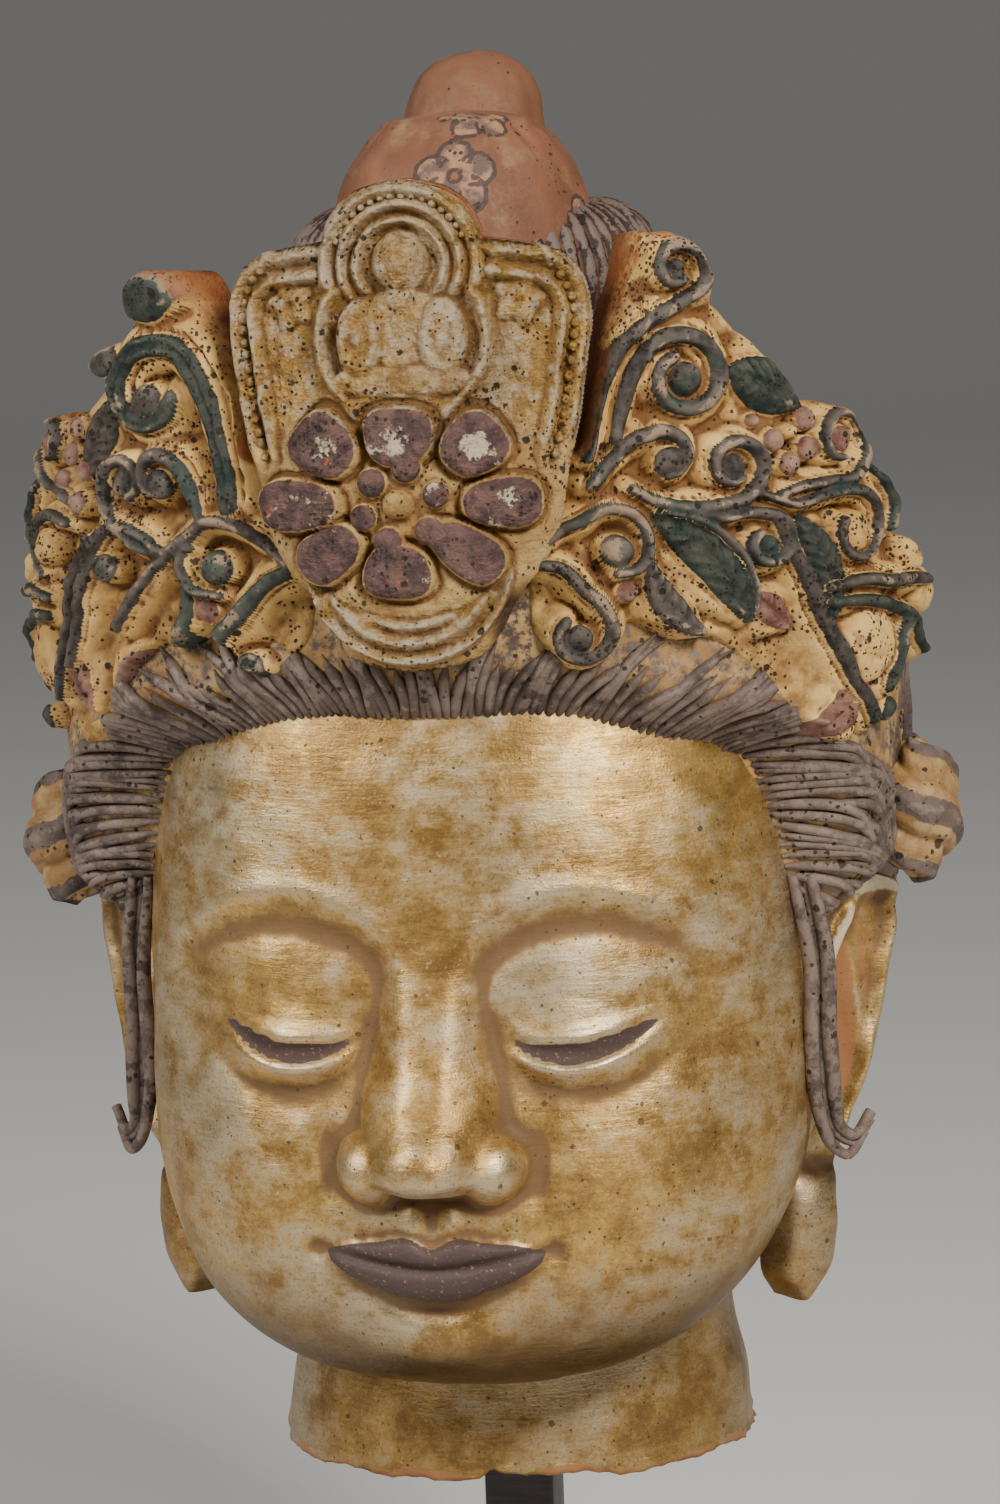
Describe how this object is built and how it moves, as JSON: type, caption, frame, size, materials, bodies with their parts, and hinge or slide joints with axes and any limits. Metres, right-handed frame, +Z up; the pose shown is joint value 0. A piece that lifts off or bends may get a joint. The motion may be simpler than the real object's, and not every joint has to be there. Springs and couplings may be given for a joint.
{
  "type": "bodhisattva head on a stand",
  "caption": "Crowned bodhisattva head with a bound topknot, long ear lobes and a broken neck, held up by a square post in a low stepped foot.",
  "frame": {"origin": "centre of the foot's underside, on the post's axis", "axes": "+Z up along the post, -Y the way the face looks, +X towards a viewer's right who faces the head"},
  "size_m": [0.2148, 0.189, 0.4023],
  "materials": {
    "gilt_and_painted_clay": "moulded clay with worn gilding and worn mineral paint",
    "dark_post": "dark stained wood, low sheen",
    "dark_foot": "dark stained wood, low sheen"
  },
  "bodies": {
    "root": {"head": "gilt_and_painted_clay", "post": "dark_post", "foot": "dark_foot"}
  },
  "joints": []
}
